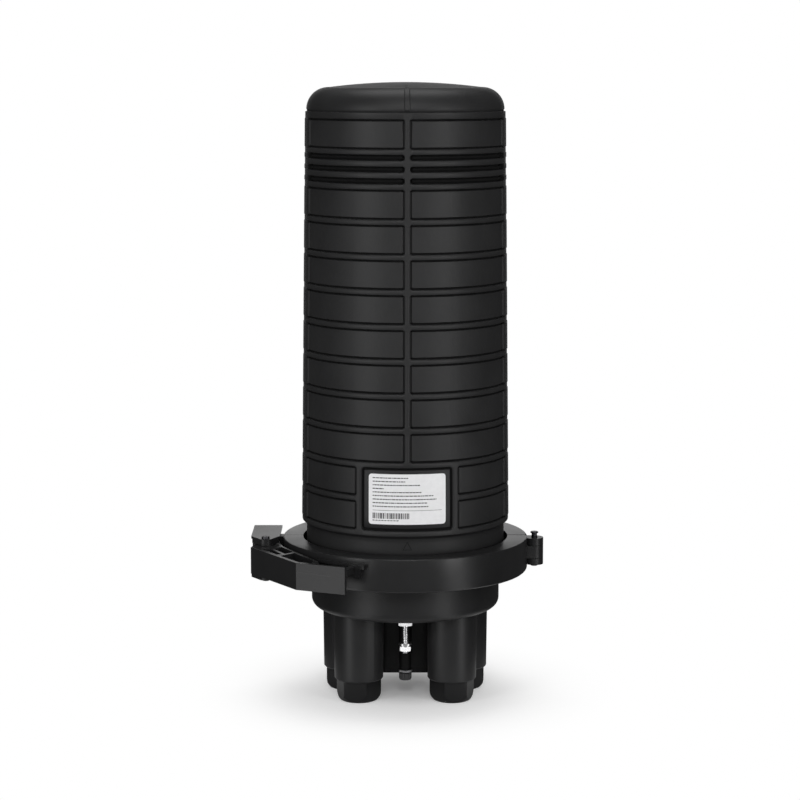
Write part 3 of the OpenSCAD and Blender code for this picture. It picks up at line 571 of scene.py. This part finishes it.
def buildPrint():
    # unreadable dashes in rows, a thin rule, and a row of upright bars over stubs
    chance = np.random.default_rng(7)
    halfW, halfH = label["width"] / 2 - label["margin"], label["height"] / 2
    top, foot = label["midZ"] + halfH, label["midZ"] - halfH
    patches = []
    for row, share in enumerate(label["lineShares"]):
        z = top - label["firstLine"] - row * label["lineStep"]
        s, end = -halfW, -halfW + 2 * halfW * share
        while s < end:
            width = label["dash"] + label["dashSpread"] * chance.random()
            patches.append((s, min(s + width, end), z, z + label["lineH"]))
            s += width + label["dashGap"]
    patches.append((-halfW, halfW, foot + label["rule"][0], foot + label["rule"][1]))
    s, z = -halfW, foot + label["barFoot"]
    for _ in range(label["bars"]):
        width = label["barUnit"] * (1 + chance.integers(0, 3))
        patches.append((s, s + width, z, z + label["barH"]))
        s += width + label["barUnit"] * (1 + chance.integers(0, 2))
    for k in range(label["stubs"]):
        s = -halfW + k * label["stubStep"]
        patches.append((s, s + label["stubW"], z - label["stubDrop"][0], z - label["stubDrop"][1]))
    shapes = []
    for s0, s1, z0, z1 in patches:
        columns = 3 + int((s1 - s0) / 2)
        s, z = np.meshgrid(np.linspace(s0, s1, columns), [z0, z1])
        grid = onPad(s, z, label["film"] + label["ink"])
        shapes.append((grid.reshape(-1, 3), gridFaces(2, columns, False, False)))
    piece("label_print", joined(*shapes), "closure", [], labelInk, sharp=60, closed=False)


def strip(start, end, width, onSurface, lift):
    # a thin raised bar between two places on a surface, given as (along, height) in mm: its corners are
    # half a width past both places and to both sides, at -sunk and at lift
    start, end = np.array(start, float), np.array(end, float)
    along = (end - start) / np.linalg.norm(end - start)
    across = np.array([-along[1], along[0]]) * width / 2
    start, end = start - along * width / 2, end + along * width / 2
    s, z = np.array([start - across, end - across, end + across, start + across]).T
    sunk = 0.1
    low, high = onSurface(s, z, -sunk), onSurface(s, z, lift)
    return np.vstack([low, high]), [[0, 1, 2, 3], [4, 5, 6, 7]] + gridFaces(2, 4, False, True)


mark = {"centre": 1.3, "halfWidth": 3.1, "foot": 124.1, "top": 129.8, "line": 0.55, "lift": 0.22}


def onNeck(s, z, lift):
    # point on the neck from a distance round it and a height: angle = distance / radius
    radius = dome["neckR"] + lift
    return np.stack([radius * np.sin(s / radius), -radius * np.cos(s / radius), z], -1) * mm


def buildMark():
    # the moulded outline of a triangle on the front of the neck, from three bars
    m = mark
    left, right = (m["centre"] - m["halfWidth"], m["foot"]), (m["centre"] + m["halfWidth"], m["foot"])
    top = (m["centre"], m["top"])
    sides = ((left, right), (right, top), (top, left))
    bars = [strip(a, b, m["line"], onNeck, m["lift"]) for a, b in sides]
    piece("neck_mark", joined(*bars), "closure", [], markPlastic, sharp=40)


buildLabel()
buildPrint()
buildMark()
print("stage: label")

# edge rounding in mm, on edges that turn more than the crease in degrees
clampEdges = {"rounding": 0.7, "crease": 40}
latchEdges = {"rounding": 0.35, "crease": 24}
softened("clamp_half_front", "front_clamp", ringPlastic, clampEdges)
softened("clamp_half_rear", "closure", ringPlastic, clampEdges)
softened("latch_lever", "lever", latchPlastic, latchEdges)
softened("latch_link", "link", latchPlastic, latchEdges)
print("stage: clamp ring and latch")

# finishes of the frame's nodes that keep their shape
nodeFinish = {
    "base_body": basePlastic, "oval_port_plugs": basePlastic, "oval_press_plate": basePlastic,
    "oval_seal_block": sealRubber, "dome_seal_ring": sealRubber, "oval_plate_screws": brightSteel,
    "hinge_pin": blackPin, "link_pin": blackPin, "lever_pin": brightSteel, "test_valve_nut": brightSteel,
    "earth_collar": brightSteel, "earth_spring_washer": brightSteel, "earth_washer": brightSteel,
    "earth_nut": brightSteel, "earth_inner_nut": brightSteel, "tray_bracket": sheetSteel,
    "bracket_screws": brightSteel, "fibre_basket": innerPlastic, "basket_rivets": brightSteel,
    "tray_comb": innerPlastic, "tray_hinge_pins": brightSteel, "tray_cover": clearCover,
    "tray_strap": strapWeave, "strength_clamps": sheetSteel, "strength_clamp_screws": brightSteel,
}
nodeFinish.update({"cable_grommet_%d" % i: sealRubber for i in range(1, 5)})
nodeFinish.update({"splice_tray_%d" % i: trayPlastic for i in range(1, 7)})
for nodeName, material in nodeFinish.items():
    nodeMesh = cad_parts[nodeName].data
    nodeMesh.materials.clear()
    nodeMesh.materials.append(material)
print("stage: finishes on the frame's nodes")

glandNut = {
    "turns": (20, -19.5, 12, -12),      # degrees that each nut is turned
    "flat": 14.72, "top": 16.5, "spigotR": 14.0, "spigotTop": 28.5, "boreR": 10.5,
    # radius of the lathe-turned limit against height, with more rows where it is rounded
    "limit": ([0, 0.5, 1.2, 2.2, 3.6, 5.4, 7.4, 15.7, 16.5],
              [12.8, 13.9, 14.6, 15.4, 16.2, 16.8, 17.0, 17.0, 16.4]),
    "roundTo": 7.4, "roundRows": 19, "columns": 144,
}


def buildNuts():
    # hexagon cut by a turned limit: radius = the smaller of flat / cos(angle to the nearest flat) and the
    # limit at that height
    g = glandNut
    heights, radii = np.array(g["limit"])
    fine = np.unique(np.concatenate([heights, np.linspace(0, g["roundTo"], g["roundRows"])]))
    profile = [(r, z) for z, r in zip(fine, np.interp(fine, heights, radii))]
    profile += [(g["spigotR"], g["top"]), (g["spigotR"], g["spigotTop"]), (g["boreR"], g["spigotTop"]),
                (g["boreR"], 0)]
    for number, turn in enumerate(g["turns"], 1):
        node = "gland_nut_%d" % number
        low, high = nodeBox(node)

        def hexagon(angle, radius, z):
            return np.minimum(radius, g["flat"] / np.cos(np.radians((np.degrees(angle) - turn) % 60 - 30)))

        shape = revolve(profile, g["columns"], centre=(low + high)[:2] / 2, start=turn, modulate=hexagon)
        piece(node + "_finished", shape, "closure", [node], nutPlastic, sharp=24)


buildNuts()
print("stage: gland nuts")

stud = {"y": -35.0, "r": 2.5, "pitch": 0.8, "depth": 0.42, "step": 0.1, "point": 0.7, "columns": 20}
valve = {
    "y": -20.0, "ridge": 0.7,
    "capR": 4.8, "capH": 5.4, "capChamfer": 0.6, "capFoot": 1.0, "capShoulder": 0.7,
    "capRidges": 15, "capColumns": 168,
    "ringR": 5.3, "ringH": 2.4, "ringRidges": 20, "ringColumns": 160,
    "waistR": 4.0, "waistH": 0.9, "neckR": 4.6, "neckH": 0.4, "topR": 5.2, "nutR": 6.8, "nutH": 3.0,
    "holeR": 4.2, "bodyColumns": 64,
}


def buildThread():
    # radius falls by the thread's depth between crests: r - depth/2 * (1 - cos(2 pi z / pitch - angle))
    z0, z1 = nodeBox("earth_stud")[:, 2]
    heights = np.arange(z0 + stud["point"], z1 - stud["step"], stud["step"])
    profile = [(0, z0), (stud["r"] - stud["point"], z0)] + [(stud["r"], z) for z in heights]
    profile += [(stud["r"], z1), (0, z1)]

    def thread(angle, radius, z):
        wave = 1 - np.cos(2 * math.pi * (z / stud["pitch"]) - angle)
        return radius - np.where(radius >= stud["r"], stud["depth"] / 2 * wave, 0)

    shape = revolve(profile, stud["columns"], centre=(0, stud["y"]), modulate=thread)
    piece("earth_thread", shape, "closure", ["earth_stud"], brightSteel, sharp=60)


def grip(count, rimR):
    # upright grip ridges on a rim: radius falls by ridge/2 * (1 - cos(count * angle))
    def ridges(angle, radius, z):
        fall = valve["ridge"] / 2 * (1 - np.cos(count * angle))
        return radius - np.where(radius >= rimR - 0.05, fall, 0)
    return ridges


def buildValve():
    # three turned pieces, from the cap at the foot up into the cup
    v = valve
    centre = (0, v["y"])
    foot, capR = nodeBox("test_valve_cap")[0][2], v["capR"]
    capTop = foot + v["capH"]
    waistTop, ringTop = capTop + v["waistH"], capTop + v["ringH"]
    cap = roundedProfile([(0, foot, 0), (capR - v["capChamfer"], foot, 0.5), (capR, foot + v["capFoot"], 0.3),
                          (capR, capTop - v["capShoulder"], 0.3), (capR - v["capChamfer"], capTop, 0.3),
                          (0, capTop, 0)])
    shape = revolve(cap, v["capColumns"], centre, modulate=grip(v["capRidges"], capR))
    piece("valve_cap", shape, "closure", ["test_valve_cap"], capPlastic, sharp=50)
    innerR, ringR = v["waistR"] - 1, v["ringR"]
    ring = roundedProfile([(innerR, ringTop, 0), (innerR, waistTop, 0), (ringR, waistTop, 0.25),
                           (ringR, ringTop, 0.25)])
    shape = revolve(ring, v["ringColumns"], centre, modulate=grip(v["ringRidges"], ringR))
    piece("valve_ring", shape, "closure", [], valveRing, sharp=50)
    cupFoot, bodyTop = nodeBox("earth_collar")[1][2], nodeBox("test_valve_body")[1][2]
    nutFoot = cupFoot - v["nutH"]
    body = [(0, capTop), (v["waistR"], capTop), (v["waistR"], ringTop), (v["neckR"], ringTop + v["neckH"]),
            (v["topR"], nutFoot), (v["nutR"], nutFoot), (v["nutR"], cupFoot), (v["holeR"], cupFoot),
            (v["holeR"], bodyTop), (0, bodyTop)]
    shape = revolve(body, v["bodyColumns"], centre)
    piece("valve_body", shape, "closure", ["test_valve_body"], valveRubber, sharp=50)


# ends of the lever's outer face seen from above, and the moulded line on it
leverFace = {"from": np.array([-79.2, -89.0]), "to": np.array([-43.6, -105.0])}
leverLine = {"start": 0.6, "length": 27.0, "height": 110.8, "fall": 0.8, "line": 0.5, "lift": 0.16}


def onLever(s, z, lift):
    # point on the lever's face from a distance along it and a height: start + s * along + lift * outward
    along = leverFace["to"] - leverFace["from"]
    along = along / np.linalg.norm(along)
    outward = np.array([along[1], -along[0]])
    spot = leverFace["from"] + s[:, None] * along + lift * outward
    return np.column_stack([spot, z]) * mm


def buildLeverLine():
    # a thin raised line along the lever's face, lighter than the lever: painted highlight along its edges
    line = leverLine
    start = (line["start"], line["height"])
    end = (line["start"] + line["length"], line["height"] - line["fall"])
    shape = strip(start, end, line["line"], onLever, line["lift"])
    piece("lever_line", shape, "lever", [], leverLineHighlight, sharp=40)


buildThread()
buildValve()
buildLeverLine()
print("stage: stud, valve and latch line")

studio = {
    "ambient": 0.27,                 # level of the light from all round
    "floorColour": (0.84, 0.84, 0.84), "floorRoughness": 0.9, "floorHalf": 6,
    "floorGlowAndPaintedShadow": (0.12, 0.33),       # the floor's glow to the eye, near the closure and further out; the lower glow near it is a painted contact shadow
    "liftFrom": (0.015, 0.055),      # distances in metres between which that changes
    "floorFade": (0.045, 0.17),      # distances over which the floor turns to the white background
    "cardFrom": (0.90, 0.98),        # share of a direction that points behind, where a gloss sees white
    "frontFrom": (0.80, 0.97),       # share that points ahead, where a gloss sees the faint front
    "flags": 0.05, "frontLevel": 0.30,      # levels of the dark screens at both sides and of the front
    # painted reflections of the softboxes, glowing in the floor to a gloss: bearing, half width, softness and
    # level
    "stripBearing": 44.5, "stripHalf": 9.0, "stripSoft": 0.3, "stripLevel": 1.8,
    "paintedReflectionFrom": (0.09, 0.15),      # distances over which a gloss sees the floor's painted reflections
    # name: (place, aim, width, height, power)
    "lamps": {
        "overhead": ((0.0, 0.4, 2.2), (0, 0, 0.1), 1.6, 1.2, 19),
        "frontFill": ((0.0, -2.5, 1.60), (0, 0, 0.25), 1.3, 0.7, 21),
        "frontLeft": ((-1.70, -1.75, 0.60), (0, 0, 0.25), 0.80, 1.2, 15),
        "frontRight": ((1.70, -1.75, 0.60), (0, 0, 0.25), 0.80, 1.2, 15),
    },
    "cameraPlace": (-0.0040, -1.753, 0.4720), "cameraTilt": 8.06, "focal": 105.75, "sensor": 36,
}


def areaLamp(name, place, aim, width, height, power):
    # a rectangular softbox turned to its aim
    data = bpy.data.lights.new(name, "AREA")
    data.shape = "RECTANGLE"
    data.size, data.size_y, data.energy = width, height, power
    lamp = addObject(name, data)
    lamp.location = place
    lamp.rotation_euler = (Vector(aim) - Vector(place)).to_track_quat("-Z", "Y").to_euler()


def stepNode(tree, source, start, end, low=0.0, high=1.0):
    # a smooth step from low to high between start and end
    node = tree.nodes.new("ShaderNodeMapRange")
    node.interpolation_type = "SMOOTHSTEP"
    for name, value in (("From Min", start), ("From Max", end), ("To Min", low), ("To Max", high)):
        node.inputs[name].default_value = value
    tree.links.new(source, node.inputs["Value"])
    return node.outputs["Result"]


def vectorNode(tree, operation, source):
    # one operation on a vector
    node = tree.nodes.new("ShaderNodeVectorMath")
    node.operation = operation
    tree.links.new(source, node.inputs[0])
    return node


def rayKinds(tree):
    # which rays the eye sends, straight or through glass, and which a gloss sends
    path = tree.nodes.new("ShaderNodeLightPath")
    seen = mathNode(tree, "MAXIMUM", path.outputs["Is Camera Ray"], path.outputs["Is Transmission Ray"])
    return seen, path.outputs["Is Glossy Ray"]


def glossLevel(tree, vector):
    # what a gloss sees along a level direction: dark screens, faint front, white behind;
    # also the direction's part to the side and its part ahead
    parts = tree.nodes.new("ShaderNodeSeparateXYZ")
    tree.links.new(vector, parts.inputs["Vector"])
    behind = stepNode(tree, parts.outputs["Y"], *studio["cardFrom"])
    ahead = mathNode(tree, "MULTIPLY", parts.outputs["Y"], -1)
    front = stepNode(tree, ahead, *studio["frontFrom"], studio["flags"], studio["frontLevel"])
    return mathNode(tree, "ADD", behind, front), parts.outputs["X"], ahead


def buildWorld():
    # white to the eye and through glass, the gloss levels to a gloss, and the ambient level for other light
    world = bpy.data.worlds.new("studio")
    bpy.context.scene.world = world
    world.use_nodes = True
    tree = world.node_tree
    seen, gloss = rayKinds(tree)
    direction = tree.nodes.new("ShaderNodeTexCoord")
    level = glossLevel(tree, direction.outputs["Generated"])[0]
    lit = stepNode(tree, seen, 0, 1, studio["ambient"], 1.0)
    rest = mathNode(tree, "MULTIPLY", lit, mathNode(tree, "SUBTRACT", 1, gloss))
    total = mathNode(tree, "ADD", rest, mathNode(tree, "MULTIPLY", gloss, level))
    background = tree.nodes["Background"]
    background.inputs["Color"].default_value = (1, 1, 1, 1)
    tree.links.new(total, background.inputs["Strength"])


def floorMaterial():
    # a lit pale floor near the closure, turning to the white background further out; to a gloss it glows with
    # painted reflections
    material, tree, shader = newMaterial("pale floor")
    shader.inputs["Base Color"].default_value = (*studio["floorColour"], 1)
    shader.inputs["Roughness"].default_value = studio["floorRoughness"]
    shader.inputs["Specular IOR Level"].default_value = 0.0
    shader.inputs["Emission Color"].default_value = (1, 1, 1, 1)
    seen, gloss = rayKinds(tree)
    place = tree.nodes.new("ShaderNodeTexCoord").outputs["Object"]
    distance = vectorNode(tree, "LENGTH", place).outputs["Value"]
    bearing = vectorNode(tree, "NORMALIZE", place).outputs["Vector"]
    # the floor glows to the eye to stay white, and glows less near the closure: a painted contact shadow
    lift = stepNode(tree, distance, *studio["liftFrom"], *studio["floorGlowAndPaintedShadow"])
    tree.links.new(mathNode(tree, "MULTIPLY", seen, lift), shader.inputs["Emission Strength"])
    # painted reflection, glowing in the floor to a gloss: the level of that bearing, and a softbox to each
    # side of the front
    level, side, ahead = glossLevel(tree, bearing)
    angle = mathNode(tree, "ARCTAN2", mathNode(tree, "ABSOLUTE", side), ahead)
    off = mathNode(tree, "SUBTRACT", angle, math.radians(studio["stripBearing"]))
    half, soft = math.radians(studio["stripHalf"]), studio["stripSoft"]
    softbox = stepNode(tree, mathNode(tree, "ABSOLUTE", off), half * (1 - soft), half * (1 + soft),
                       studio["stripLevel"], 0.0)
    paintedReflection = tree.nodes.new("ShaderNodeEmission")
    tree.links.new(mathNode(tree, "ADD", level, softbox), paintedReflection.inputs["Strength"])
    paintedReflectionShare = mathNode(tree, "MULTIPLY", gloss, stepNode(tree, distance, *studio["paintedReflectionFrom"]))
    # the background: white to the eye and to a gloss, and the ambient level for other light
    white = tree.nodes.new("ShaderNodeEmission")
    shows = mathNode(tree, "MAXIMUM", seen, gloss)
    tree.links.new(stepNode(tree, shows, 0, 1, studio["ambient"], 1.0), white.inputs["Strength"])
    fade = stepNode(tree, distance, *studio["floorFade"])
    shown = shader.outputs["BSDF"]
    for share, other in ((fade, white), (paintedReflectionShare, paintedReflection)):
        mix = tree.nodes.new("ShaderNodeMixShader")
        tree.links.new(share, mix.inputs["Fac"])
        tree.links.new(shown, mix.inputs[1])
        tree.links.new(other.outputs["Emission"], mix.inputs[2])
        shown = mix.outputs["Shader"]
    tree.links.new(shown, tree.nodes["Material Output"].inputs["Surface"])
    return material


def buildStudio():
    # lamps, world, floor and camera
    for name, settings in studio["lamps"].items():
        areaLamp(name, *settings)
    buildWorld()
    mesh, half = bpy.data.meshes.new("floor"), studio["floorHalf"]
    corners = [(-half, -half, 0), (half, -half, 0), (half, half, 0), (-half, half, 0)]
    mesh.from_pydata(corners, [], [(0, 1, 2, 3)])
    mesh.materials.append(floorMaterial())
    addObject("floor", mesh)
    cameraData = bpy.data.cameras.new("camera")
    cameraData.lens = studio["focal"]
    cameraData.sensor_width = studio["sensor"]
    camera = addObject("camera", cameraData)
    camera.location = studio["cameraPlace"]
    camera.rotation_euler = (math.radians(90 - studio["cameraTilt"]), 0, 0)
    bpy.context.scene.camera = camera
    bpy.context.scene.view_settings.view_transform = "Standard"


buildStudio()
print("stage: studio")
